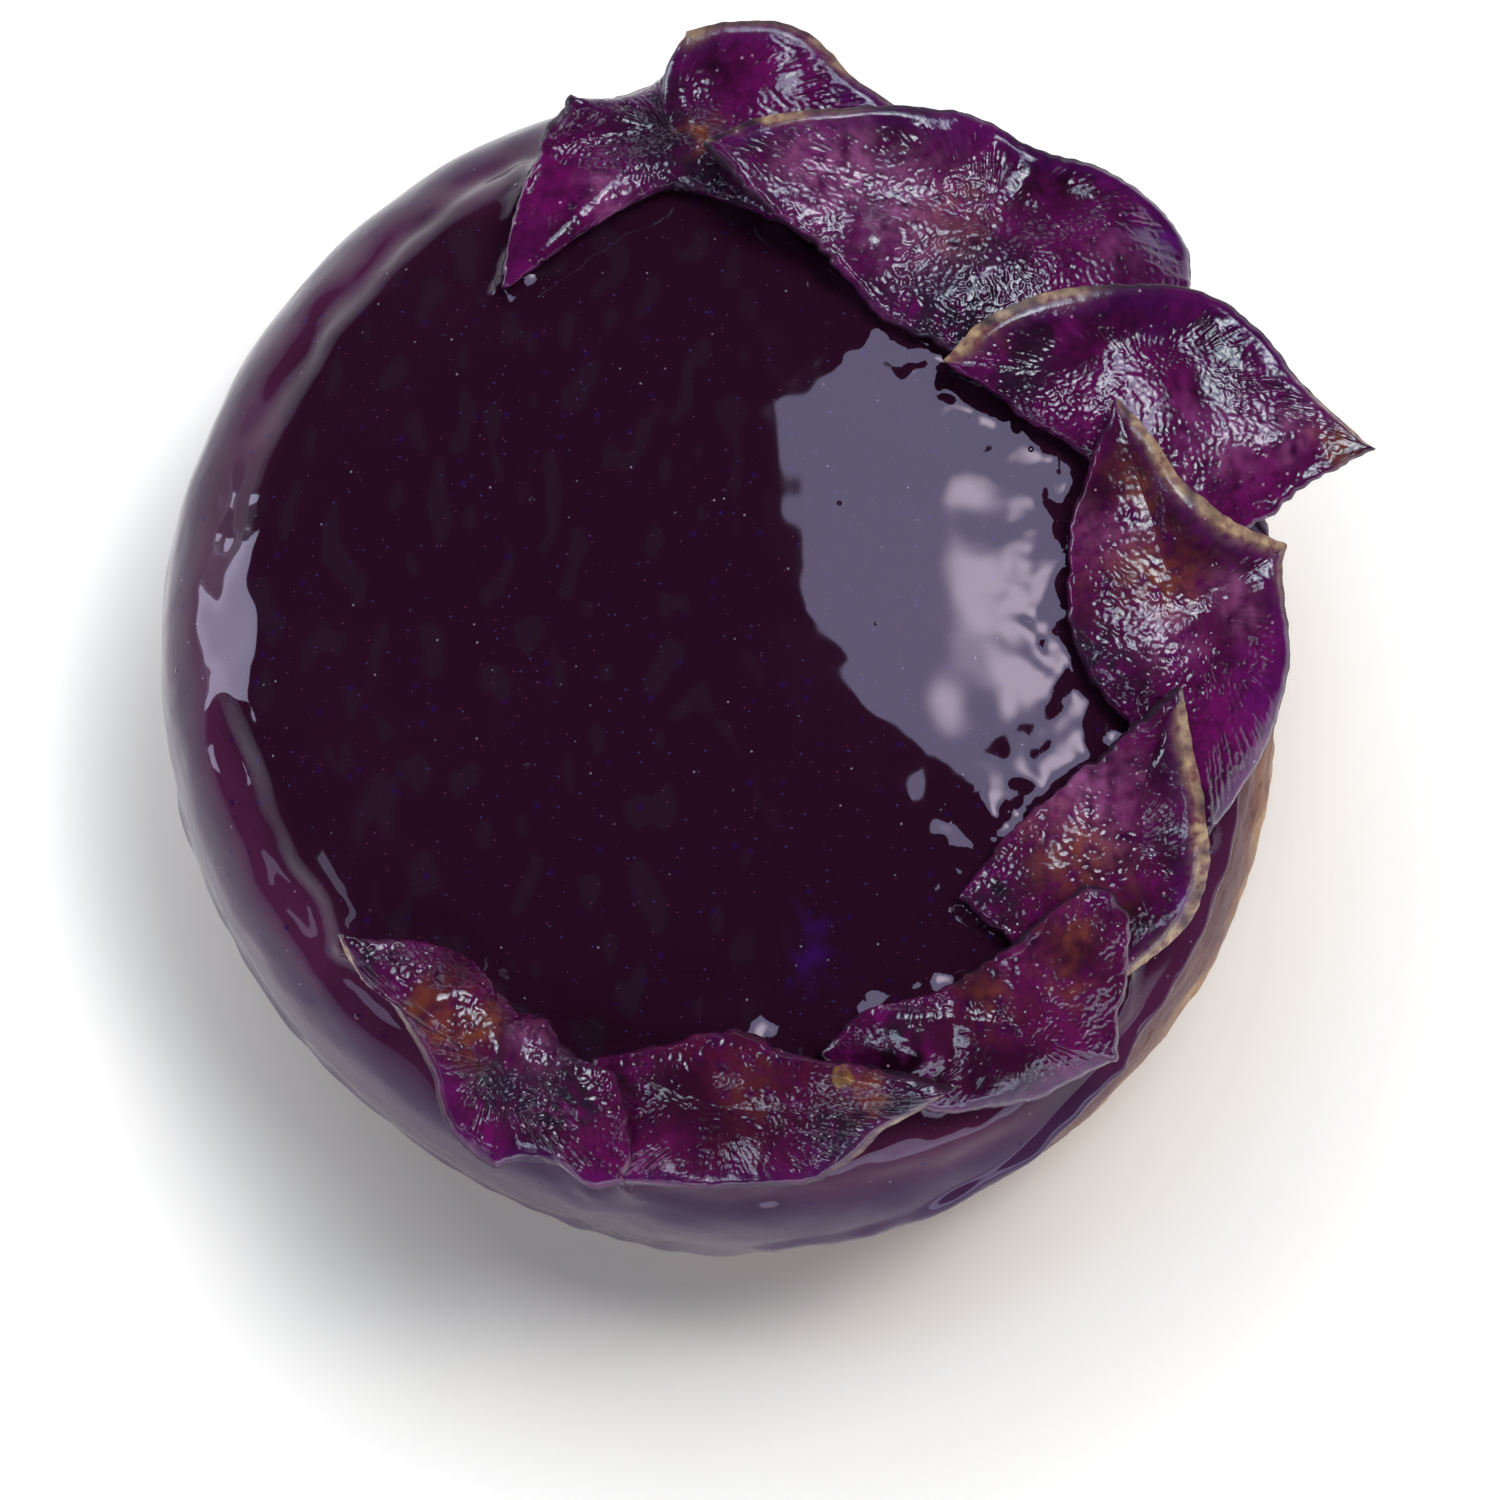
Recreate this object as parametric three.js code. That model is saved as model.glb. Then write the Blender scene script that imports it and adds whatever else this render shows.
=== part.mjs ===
// A round doughnut, dipped in dark purple glaze and dressed with eight crisp slices of purple
// sweet potato. The slices lie round the right-hand rim like roof shingles, each one starting on top
// of the one before it. Millimetres, +Z up, with the origin at the middle of the flat underside.
import * as THREE from "three";

const DEGREE = Math.PI / 180;

// Dough: a squat ball, widest below half its height, that rests on a small flat foot.
const DOUGH_RADIUS = 43.4;
const WIDEST_HEIGHT = 17;
const DOUGH_HEIGHT = 36.5;
const UNDERSIDE_DEPTH = 18; // how far the rounded underside would reach if the foot didn't cut it
const SQUARENESS = 2.6; // exponent of the side's outline: 2 is an ellipse, more has fuller shoulders

// Glaze: a poured coat with an even thickness, a hair clear of the dough.
const GLAZE_THICKNESS = 1.2;
const GLAZE_CLEARANCE = 0.4;
const GLAZE_OFFSET = GLAZE_CLEARANCE + GLAZE_THICKNESS;

// Sweet potato slices.
const SLICE_THICKNESS = 1.6;

// Mesh densities.
const ROUND_STEPS = 60;
const DOUGH_RINGS = 20;
const GLAZE_RINGS = 14;
const SLICE_RIM_STEP = 3;
const SLICE_RINGS = 4;

// ---------------------------------------------------------------------------------------------
// Shared shapes

// The dough isn't quite round: it is longer from front to back and fuller on the right.
function doughRadius(angle) {
  return (
    DOUGH_RADIUS +
    Math.cos(angle + 11 * DEGREE) +
    Math.cos(2 * (angle + 68 * DEGREE)) +
    0.35 * Math.cos(3 * (angle + 54 * DEGREE))
  );
}

// A point on the dough, moved out by an offset. Steepness runs from -90 degrees at the middle of the
// underside, through 0 at the widest place, to 90 at the crown.
function onDough(angle, steepness, offset) {
  const power = 2 / SQUARENESS;
  const out = Math.abs(Math.cos(steepness)) ** power;
  const up = Math.sign(steepness) * Math.abs(Math.sin(steepness)) ** power;
  const reach = up > 0 ? DOUGH_HEIGHT - WIDEST_HEIGHT : UNDERSIDE_DEPTH;
  const radius = out * (doughRadius(angle) + offset);
  const height = WIDEST_HEIGHT + up * (reach + offset);
  return new THREE.Vector3(radius * Math.cos(angle), radius * Math.sin(angle), Math.max(height, 0));
}

// A closed solid through a stack of equal rings, shut by a fan at each end.
function solidFromRings(rings, startPole, endPole) {
  const count = rings[0].length;
  const points = [startPole, ...rings.flat(), endPole];
  const last = points.length - 1;
  const at = (ring, i) => 1 + ring * count + (i % count);
  const faces = [];
  for (let i = 0; i < count; i++) {
    faces.push(0, at(0, i + 1), at(0, i));
    for (let ring = 0; ring + 1 < rings.length; ring++) {
      faces.push(at(ring, i), at(ring, i + 1), at(ring + 1, i + 1));
      faces.push(at(ring, i), at(ring + 1, i + 1), at(ring + 1, i));
    }
    faces.push(last, at(rings.length - 1, i), at(rings.length - 1, i + 1));
  }
  const geometry = new THREE.BufferGeometry().setFromPoints(points);
  geometry.setIndex(faces);
  geometry.computeVertexNormals();
  return geometry;
}

function ringOf(pointAt) {
  return Array.from({ length: ROUND_STEPS }, (_, i) => pointAt((i / ROUND_STEPS) * 2 * Math.PI));
}

function named(name, geometry, material) {
  const mesh = new THREE.Mesh(geometry, material);
  mesh.name = name;
  return mesh;
}

// ---------------------------------------------------------------------------------------------
// Dough: one yeast-raised, deep-fried ball

function dough() {
  // The rounded underside meets the flat foot where it would reach the surface.
  const footSine = (WIDEST_HEIGHT / UNDERSIDE_DEPTH) ** (SQUARENESS / 2);
  const footSteepness = -Math.asin(footSine);
  const rings = [];
  for (let ring = 0; ring < DOUGH_RINGS; ring++) {
    const steepness = THREE.MathUtils.lerp(footSteepness, 90 * DEGREE, ring / DOUGH_RINGS);
    rings.push(ringOf((angle) => onDough(angle, steepness, 0)));
  }
  const foot = new THREE.Vector3(0, 0, 0);
  const crown = new THREE.Vector3(0, 0, DOUGH_HEIGHT);
  const fried = new THREE.MeshStandardMaterial({ color: "#a8703c", roughness: 0.7, metalness: 0 });
  return named("dough", solidFromRings(rings, foot, crown), fried);
}

// ---------------------------------------------------------------------------------------------
// Glaze: it covers the crown and runs just past the widest place, except at the front right, where
// it stops short and leaves a strip of bare dough

function glazeEdge(angle) {
  const shortfall = Math.max(0, Math.cos(angle - 342 * DEGREE)) ** 2.2;
  const lobes = 2 * Math.cos(5 * angle) + 1.5 * Math.cos(9 * angle + 40 * DEGREE);
  return (-8 + 36 * shortfall + lobes) * DEGREE;
}

function glaze() {
  const coat = (offset) => (share) =>
    ringOf((angle) => onDough(angle, THREE.MathUtils.lerp(glazeEdge(angle), 90 * DEGREE, share), offset));
  const inside = coat(GLAZE_CLEARANCE);
  const middle = coat(GLAZE_CLEARANCE + GLAZE_THICKNESS / 2);
  const outside = coat(GLAZE_OFFSET);
  const shares = Array.from({ length: GLAZE_RINGS }, (_, ring) => ring / GLAZE_RINGS);
  const roundedLip = [middle(-0.008)];
  const rings = [...shares.map(inside).reverse(), ...roundedLip, ...shares.map(outside)];
  const innerCrown = new THREE.Vector3(0, 0, DOUGH_HEIGHT + GLAZE_CLEARANCE);
  const outerCrown = new THREE.Vector3(0, 0, DOUGH_HEIGHT + GLAZE_OFFSET);
  const sugar = new THREE.MeshStandardMaterial({ color: "#260a20", roughness: 0.08, metalness: 0 });
  return named("glaze", solidFromRings(rings, innerCrown, outerCrown), sugar);
}

// ---------------------------------------------------------------------------------------------
// Slices: thin half-moons and wedges cut across the tuber, dried and curled by the fryer. Each is an
// outline of runs that meet at corners, seen from above as [x, y, lift], and a heart, the point that
// its outline surrounds. Lift is the height of the slice's middle layer over the lay: the stiff
// dome that a slice bends to, which follows the glaze over the crown and hangs clear of it outside
// the shoulder. Curl says how late a slice bends: 1 is a cone, and more keeps its middle flat and
// curls its rim.

function lay(x, y) {
  const share = Math.hypot(x, y) / (DOUGH_RADIUS + GLAZE_OFFSET);
  const drop = (DOUGH_HEIGHT + GLAZE_OFFSET - WIDEST_HEIGHT) / SQUARENESS;
  return DOUGH_HEIGHT + GLAZE_OFFSET - drop * share ** SQUARENESS;
}

const SLICES = [
  {
    name: "slice_1",
    curl: 2.2,
    heart: [-4, 38, 2.4],
    runs: [
      [[-16.5, 25.5, 1.4], [-16, 30, 1.6], [-15, 33.5, 2.2], [-13.5, 37, 3.6], [-11, 40, 7]],
      [[-11, 40, 7], [-8, 41, 3.5], [-5, 43, 1.5], [-3.2, 44.2, 4.2], [-2.6, 45.6, 7]],
      [[-2.6, 45.6, 7], [1, 46.5, 7.2], [5, 46.4, 6.8], [7.5, 45.3, 6], [10.5, 42.2, 4.8], [14, 40, 3.5],
        [17.5, 37.5, 1.6]],
      [[17.5, 37.5, 1.6], [14.5, 33, 1.3], [9.5, 29.5, 1.3], [2, 32, 1.2], [-3.5, 33.5, 1.3], [-9, 31, 1.4],
        [-16.5, 25.5, 1.4]],
    ],
  },
  {
    name: "slice_2",
    curl: 2.2,
    heart: [20, 30, 3],
    runs: [
      [[-1, 36, 7], [2.5, 37.5, 7.8], [7, 38.3, 8.2], [13, 39, 7.8], [18, 39, 7.2]],
      [[18, 39, 7.2], [21, 38.4, 5.9], [24.5, 36.4, 5.4], [28.5, 36.1, 4], [32.5, 34.2, 2.6],
        [35.7, 31.1, 1.2], [36.3, 27.2, 0.8]],
      [[36.3, 27.2, 0.8], [32.5, 23, 1.3], [25.5, 20, 1.3], [16.5, 21, 1.3]],
      [[16.5, 21, 1.3], [11.5, 24, 1.6], [8, 27.5, 3.2], [3, 31.5, 5.4], [-1, 36, 7]],
    ],
  },
  {
    name: "slice_3",
    curl: 2.2,
    heart: [32, 18, 3],
    runs: [
      [[17, 19, 4], [19.5, 21.5, 5.4], [23, 23.5, 6.2], [28.5, 25, 6.4], [34.5, 25.5, 6], [38, 25, 5.6],
        [41, 23, 5.4], [43.5, 20, 5.2], [46.5, 17, 5.4], [50, 14, 6]],
      [[50, 14, 6], [46.5, 12, 4.2], [43.3, 10, 2.6], [41.5, 8.5, 1.8], [38, 6, 0.8], [33, 7, 1.2]],
      [[33, 7, 1.2], [27.5, 13, 1.3], [24.5, 14.5, 1.6], [20.5, 17, 2.6], [17, 19, 4]],
    ],
  },
  {
    name: "slice_4",
    curl: 2.2,
    heart: [34.5, 0, 3.2],
    runs: [
      [[30, 16, 5.6], [32.5, 13, 6.6], [34, 10.5, 7], [36.5, 8.2, 7], [39.5, 6.7, 6.2], [43, 5.7, 5.2]],
      [[43, 5.7, 5.2], [42.6, 4, 5], [42.8, 1.5, 4.6], [43.3, -2, 2.8], [41.8, -8.5, 0.4], [39.5, -12.5, 0],
        [37, -16, 0.4]],
      [[37, -16, 0.4], [32.5, -13.5, 1], [31, -8, 1.2]],
      [[31, -8, 1.2], [28.5, -5.5, 1.2], [26.7, -1, 1.3], [26.5, 6, 1.6], [28, 11, 3.4], [30, 16, 5.6]],
    ],
  },
  {
    name: "slice_5",
    curl: 2.2,
    heart: [30, -18, 2.6],
    runs: [
      [[34.5, -6, 6], [35, -9.5, 6.7], [36, -13.5, 6.2], [36.5, -16.5, 5.4], [36.8, -19.5, 3.6],
        [35.8, -22.5, 1.9], [34, -24.7, 1.2], [30.5, -27.2, 1]],
      [[30.5, -27.2, 1], [26.5, -27.5, 1.2], [20.5, -23.5, 1.3], [18, -21.5, 1.4]],
      [[18, -21.5, 1.4], [21, -17.5, 1.4], [25, -14, 1.9], [28.5, -11, 3.4], [31, -9, 4.6], [34.5, -6, 6]],
    ],
  },
  {
    name: "slice_6",
    curl: 1.6,
    heart: [22, -31, 3.2],
    runs: [
      [[27.5, -20.8, 5.4], [29.5, -21.8, 5.6], [30.5, -23.3, 5.6]],
      [[30.5, -23.3, 5.6], [30.5, -27, 4.2], [30, -30.3, 2.8], [29.8, -33, 1.4]],
      [[29.8, -33, 1.4], [27, -34.4, 1.2], [24.5, -35.8, 1], [21, -36.7, 1.1], [17, -37.2, 1.1],
        [12, -36.4, 0.9]],
      [[12, -36.4, 0.9], [9.5, -35.2, 1], [8, -33, 1.2]],
      [[8, -33, 1.2], [10, -30.5, 2], [13.5, -29.5, 2], [17.5, -28, 2.2], [22.5, -24.7, 4],
        [27.5, -20.8, 5.4]],
    ],
  },
  {
    name: "slice_7",
    curl: 1.6,
    heart: [0, -37, 2.6],
    runs: [
      [[-9, -33.5, 1.1], [-2, -32, 1.3], [1.5, -31.6, 1.6], [5.5, -33.5, 3], [9, -34, 4.2], [13.5, -35, 5.6],
        [17.5, -36.2, 6.6]],
      [[17.5, -36.2, 6.6], [15, -37.6, 5], [12.5, -38.8, 4.4], [10.5, -40.6, 3.8], [7.5, -42.4, 3.5],
        [2.5, -43, 3.4], [-2, -43, 2.8], [-10, -42.2, 1.2]],
      [[-10, -42.2, 1.2], [-10.5, -38, 0.6], [-9, -33.5, 1.1]],
    ],
  },
  {
    name: "slice_8",
    curl: 1.6,
    heart: [-16.5, -34, 4.8],
    runs: [
      [[-27, -27.5, 4.6], [-28, -26, 5], [-28.5, -24.5, 5.2]],
      [[-28.5, -24.5, 5.2], [-25.5, -25, 4.2], [-22, -25, 2.4], [-19, -26, 1.1], [-17, -28.5, 0.6],
        [-15.5, -30, 1.1], [-13, -31, 2.6], [-11, -33.5, 4.2], [-7.5, -35, 4.8]],
      [[-7.5, -35, 4.8], [-7, -37.5, 5], [-6.5, -40.5, 5], [-7, -43, 5.2]],
      [[-7, -43, 5.2], [-9.5, -43.2, 5.8], [-12, -41.7, 5.8], [-14.5, -41.2, 5.8], [-16.5, -41.7, 6.2],
        [-19, -40.2, 6], [-20.5, -38.1, 5.8], [-21.5, -34.7, 5.4], [-24.5, -29.6, 4.8], [-27, -27.5, 4.6]],
    ],
  },
];

// Points round a slice's outline, evenly spaced along each smooth run, as (x, y, lift).
function outlineOf(slice) {
  return slice.runs.flatMap((run) => {
    const curve = new THREE.CatmullRomCurve3(run.map((p) => new THREE.Vector3(...p)), false, "centripetal");
    const steps = Math.max(2, Math.round(curve.getLength() / SLICE_RIM_STEP));
    return curve.getSpacedPoints(steps).slice(0, -1);
  });
}

// The middle layer: rings that shrink from the outline to the heart, bent to the lay and curled.
function middleLayer(slice) {
  const heart = new THREE.Vector3(...slice.heart);
  const outline = outlineOf(slice);
  const place = (rim, share) => {
    const point = heart.clone().lerp(rim, share);
    const lift = THREE.MathUtils.lerp(heart.z, rim.z, share ** slice.curl);
    return point.setZ(lay(point.x, point.y) + lift);
  };
  const rings = [];
  for (let ring = SLICE_RINGS; ring > 0; ring--) {
    rings.push(outline.map((rim) => place(rim, ring / SLICE_RINGS)));
  }
  return { rings, pole: place(heart, 0) };
}

// The way that the middle layer faces at each of its points.
function facing(rings, pole) {
  const between = (a, b) => new THREE.Vector3().subVectors(b, a);
  const across = (before, after, inner, outer) =>
    between(inner, outer).cross(between(before, after)).normalize();
  const count = rings[0].length;
  const normals = rings.map((ring, k) =>
    ring.map((point, i) => {
      const before = ring[(i + count - 1) % count];
      const after = ring[(i + 1) % count];
      const inner = k + 1 < rings.length ? rings[k + 1][i] : pole;
      const outer = k > 0 ? rings[k - 1][i] : point;
      const normal = across(before, after, inner, outer);
      return normal.z < 0 ? normal.negate() : normal;
    }),
  );
  const poleNormal = normals.at(-1).reduce((sum, n) => sum.add(n), new THREE.Vector3()).normalize();
  return { normals, poleNormal };
}

function slice(shape) {
  const { rings, pole } = middleLayer(shape);
  const { normals, poleNormal } = facing(rings, pole);
  const shifted = (point, normal, side) =>
    point.clone().addScaledVector(normal, (side * SLICE_THICKNESS) / 2);
  const face = (side) =>
    rings.map((ring, k) => ring.map((point, i) => shifted(point, normals[k][i], side)));
  // The outlines run clockwise seen from above, so the stack goes from the top face to the underside.
  const stack = [...face(1).reverse(), ...face(-1)];
  const geometry = solidFromRings(stack, shifted(pole, poleNormal, 1), shifted(pole, poleNormal, -1));
  const crisp = new THREE.MeshStandardMaterial({ color: "#6b1f5c", roughness: 0.35, metalness: 0 });
  return named(shape.name, geometry, crisp);
}

// ---------------------------------------------------------------------------------------------

const doughnut = new THREE.Group();
doughnut.add(dough(), glaze(), ...SLICES.map(slice));

export default doughnut;
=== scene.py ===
import math

import bpy
import numpy as np
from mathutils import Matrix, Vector, noise


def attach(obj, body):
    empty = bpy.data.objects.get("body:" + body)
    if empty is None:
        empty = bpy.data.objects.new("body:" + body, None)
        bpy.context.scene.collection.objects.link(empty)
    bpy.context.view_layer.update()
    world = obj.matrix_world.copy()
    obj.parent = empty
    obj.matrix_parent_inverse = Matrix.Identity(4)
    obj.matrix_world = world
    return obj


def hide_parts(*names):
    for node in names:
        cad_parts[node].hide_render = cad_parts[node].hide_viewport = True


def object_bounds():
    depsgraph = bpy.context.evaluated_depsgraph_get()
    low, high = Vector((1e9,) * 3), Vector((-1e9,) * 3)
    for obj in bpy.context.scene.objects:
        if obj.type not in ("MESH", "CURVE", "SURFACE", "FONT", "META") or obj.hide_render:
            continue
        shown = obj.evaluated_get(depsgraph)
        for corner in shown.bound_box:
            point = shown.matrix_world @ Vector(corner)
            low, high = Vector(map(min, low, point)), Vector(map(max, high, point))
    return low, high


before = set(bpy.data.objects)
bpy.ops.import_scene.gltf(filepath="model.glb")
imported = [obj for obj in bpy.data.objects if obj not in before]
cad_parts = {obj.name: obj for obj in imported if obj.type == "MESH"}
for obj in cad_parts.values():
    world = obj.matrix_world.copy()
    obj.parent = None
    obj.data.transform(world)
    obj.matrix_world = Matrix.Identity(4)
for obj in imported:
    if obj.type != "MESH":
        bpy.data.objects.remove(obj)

cad_box = [list(corner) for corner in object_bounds()]

# ---------------------------------------------------------------------------------------------
# Camera: looks down on the doughnut from almost straight above, a little from the front.

MM = 0.001
CAMERA_ELEVATION = math.radians(80)
CAMERA_DISTANCE = 560 * MM
CAMERA_LENS = 171.8
SENSOR_WIDTH = 36
# The place that it looks at, from the low corner of the CAD's box.
AIM_FROM_CORNER = Vector((45.9, 39.4, 15.7)) * MM

aim = Vector(cad_box[0]) + AIM_FROM_CORNER
towards_camera = Vector((0, -math.cos(CAMERA_ELEVATION), math.sin(CAMERA_ELEVATION)))

camera_data = bpy.data.cameras.new("camera")
camera_data.lens = CAMERA_LENS
camera_data.sensor_width = SENSOR_WIDTH
camera_data.clip_start = 10 * MM
camera = bpy.data.objects.new("camera", camera_data)
camera.location = aim + CAMERA_DISTANCE * towards_camera
camera.rotation_euler = (math.pi / 2 - CAMERA_ELEVATION, 0, 0)
bpy.context.scene.collection.objects.link(camera)
bpy.context.scene.camera = camera

# ---------------------------------------------------------------------------------------------
# Dough: one ball of yeast dough, proved, fried on one side and then the other, and left to drain.
# It floats while it fries, so a paler band stays round the middle, and it rests on a small flat foot.

DOUGH_RADIUS = 43.4
WIDEST_HEIGHT = 17.0
DOUGH_HEIGHT = 36.5
UNDERSIDE_DEPTH = 18.0
# A squareness of 2 would be an ellipsoid, and more is fuller at the shoulders.
SQUARENESS = 2.6
DOUGH_TURNS = 480
PALE_BAND_HEIGHT = 15.5
PALE_BAND_REACH = 4.2
PORE_SIZE = 0.9
# How steep the dough is along most of the lower edge of the glaze, in degrees.
GLAZE_STOPS = -8


def dough_radius(angle):
    """Radius at the widest place, in mm: longer from front to back and fuller on the right."""
    return (
        DOUGH_RADIUS
        + np.cos(angle + math.radians(11))
        + np.cos(2 * (angle + math.radians(68)))
        + 0.35 * np.cos(3 * (angle + math.radians(54)))
    )


def on_dough(angle, steepness, offset):
    """Points in mm on the dough, moved out by an offset: steepness is 0 at the widest place."""
    power = 2 / SQUARENESS
    out = np.abs(np.cos(steepness)) ** power
    up = np.sign(steepness) * np.abs(np.sin(steepness)) ** power
    reach = np.where(up > 0, DOUGH_HEIGHT - WIDEST_HEIGHT, UNDERSIDE_DEPTH)
    radius = out * (dough_radius(angle) + offset)
    height = WIDEST_HEIGHT + up * (reach + offset)
    return np.stack([radius * np.cos(angle), radius * np.sin(angle), np.maximum(height, 0)], axis=-1)


def glaze_edge(angle):
    """How steep the dough is where the glaze stops: it stops short on the right, a little in front."""
    shortfall = np.clip(np.cos(angle - math.radians(342)), 0, 1) ** 2.2
    lobes = 2 * np.cos(5 * angle) + 1.5 * np.cos(9 * angle + math.radians(40))
    return np.radians(GLAZE_STOPS + 36 * shortfall + lobes)


def bumps(points, size, seed):
    """Smooth random bumps, about size mm across and from -0.5 to 0.5, at points in mm."""
    places = (points.reshape(-1, 3) / size + 13.7 * seed).tolist()
    return np.array([noise.noise(place) for place in places]).reshape(points.shape[:-1])


def ramp(values, start, end):
    """0 where values are at start, 1 where they are at end, and smooth between."""
    share = np.clip((values - start) / (end - start), 0, 1)
    return share * share * (3 - 2 * share)


def solid(name, rings, first_pole, last_pole, marks):
    """A closed mesh through a stack of rings of points in mm. marks are values to keep at each point."""
    stack, count = rings.shape[:2]
    points = np.vstack([[first_pole], rings.reshape(-1, 3), [last_pole]])
    here = 1 + np.arange(stack * count).reshape(stack, count)
    beside = np.roll(here, -1, axis=1)
    quads = np.stack([here[:-1], beside[:-1], beside[1:], here[1:]], axis=-1).reshape(-1, 4)
    first_fan = np.stack([np.zeros(count, int), beside[0], here[0]], axis=-1)
    last_fan = np.stack([np.full(count, len(points) - 1), here[-1], beside[-1]], axis=-1)
    faces = quads.tolist() + first_fan.tolist() + last_fan.tolist()
    mesh = bpy.data.meshes.new(name)
    mesh.from_pydata((points * MM).tolist(), [], faces)
    mesh.polygons.foreach_set("use_smooth", [True] * len(faces))
    for mark, values in marks.items():
        kept = mesh.attributes.new(mark, "FLOAT", "POINT")
        every = np.concatenate([[values[0].mean()], values.ravel(), [values[-1].mean()]])
        kept.data.foreach_set("value", every)
    piece = bpy.data.objects.new(name, mesh)
    bpy.context.scene.collection.objects.link(piece)
    return piece


def linear(hex_colour):
    """An sRGB hex colour as the linear colour that shaders take."""
    parts = [int(hex_colour[i:i + 2], 16) / 255 for i in (1, 3, 5)]
    return [p / 12.92 if p <= 0.04045 else ((p + 0.055) / 1.055) ** 2.4 for p in parts] + [1]


def add_node(tree, kind, output, inputs, **settings):
    """Adds a node with its settings and links, and returns one of its outputs.
    Each input takes a value or another node's output."""
    added = tree.nodes.new("ShaderNode" + kind)
    for name, value in settings.items():
        setattr(added, name, value)
    for socket, value in inputs.items():
        if isinstance(value, bpy.types.NodeSocket):
            tree.links.new(value, added.inputs[socket])
        else:
            added.inputs[socket].default_value = value
    return added.outputs[output]


def new_material(name):
    material = bpy.data.materials.new(name)
    material.use_nodes = True
    tree = material.node_tree
    return material, tree, tree.nodes["Principled BSDF"]


def fried_dough():
    """Fried yeast dough: a thin brown crust, mottled and finely pored, with a little oil left on it."""
    material, tree, crust = new_material("fried_dough")
    place = add_node(tree, "TexCoord", "Object", {})
    mottling = add_node(tree, "TexNoise", "Fac", {"Vector": place, "Scale": 1 / (5 * MM), "Detail": 6})
    grain = add_node(tree, "TexNoise", "Fac", {"Vector": place, "Scale": 1 / (0.6 * MM), "Detail": 4})
    browned = {0: mottling, 6: linear("#7c4526"), 7: linear("#b27a44")}
    colour = add_node(tree, "Mix", 2, browned, data_type="RGBA")
    # The deep tint is a painted shade: it darkens the pores and the dough towards its foot.
    for mark, hex_colour in (("pale", "#cfa878"), ("stain", "#644650"), ("deep", "#4f2a18")):
        amount = add_node(tree, "Attribute", "Fac", {}, attribute_name=mark)
        colour = add_node(tree, "Mix", 2, {0: amount, 6: colour, 7: linear(hex_colour)}, data_type="RGBA")
    oily = add_node(tree, "MapRange", "Result", {"Value": grain, "To Min": 0.4, "To Max": 0.75})
    pores = {"Height": grain, "Distance": 0.12 * MM, "Strength": 0.6}
    tree.links.new(colour, crust.inputs["Base Color"])
    tree.links.new(oily, crust.inputs["Roughness"])
    tree.links.new(add_node(tree, "Bump", "Normal", pores), crust.inputs["Normal"])
    crust.inputs["IOR"].default_value = 1.45
    return material


def make_dough():
    # The rings start at the foot and lie far apart over the crown, where glaze hides them.
    foot_steepness = -math.asin((WIDEST_HEIGHT / UNDERSIDE_DEPTH) ** (SQUARENESS / 2))
    low_side = np.linspace(foot_steepness, math.radians(45), 170)
    under_glaze = np.linspace(math.radians(48), math.radians(86), 14)
    steepness = np.concatenate([low_side, under_glaze])[:, None]
    angle = np.linspace(0, 2 * math.pi, DOUGH_TURNS, endpoint=False)[None, :]
    angle, steepness = np.broadcast_arrays(angle, steepness)
    smooth = on_dough(angle, steepness, 0)
    height = smooth[..., 2]
    level = smooth * [1, 1, 2.5]
    pores = np.clip(bumps(smooth, PORE_SIZE, 4) - 0.25, 0, 1)
    relief = 0.5 * bumps(smooth, 11, 1) + 0.3 * bumps(level, 3.5, 2) + 0.14 * bumps(level, 1.4, 3)
    relief = relief - 0.3 * pores
    rings = on_dough(angle, steepness, relief * ramp(height, 0, 3))
    # The band that floated above the oil is pale, with a wavering edge, and glaze has stained the
    # crust where it ran off.
    waver = 2.2 * bumps(smooth, 9, 5) + 0.8 * bumps(smooth, 2.5, 6)
    pale = np.exp(-(((height - PALE_BAND_HEIGHT + waver) / PALE_BAND_REACH) ** 4))
    below_glaze = np.degrees(glaze_edge(angle) - steepness)
    stain = ramp(below_glaze + 14 * bumps(smooth, 4, 7) + 5 * bumps(smooth, 1.2, 8), 42, 8)
    # Deep is painted shade: the pores and the lowest 6 mm towards the foot are painted darker.
    deep = np.clip(pores * 2.5, 0, 0.6) + 0.35 * np.clip(1 - height / 6, 0, 1)
    marks = {"pale": 0.75 * pale, "stain": 0.95 * stain, "deep": deep}
    dough = solid("dough_ball", rings, (0, 0, 0), (0, 0, DOUGH_HEIGHT), marks)
    dough.data.materials.append(fried_dough())
    return dough


dough = make_dough()
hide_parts("dough")
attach(dough, "root")
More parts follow.
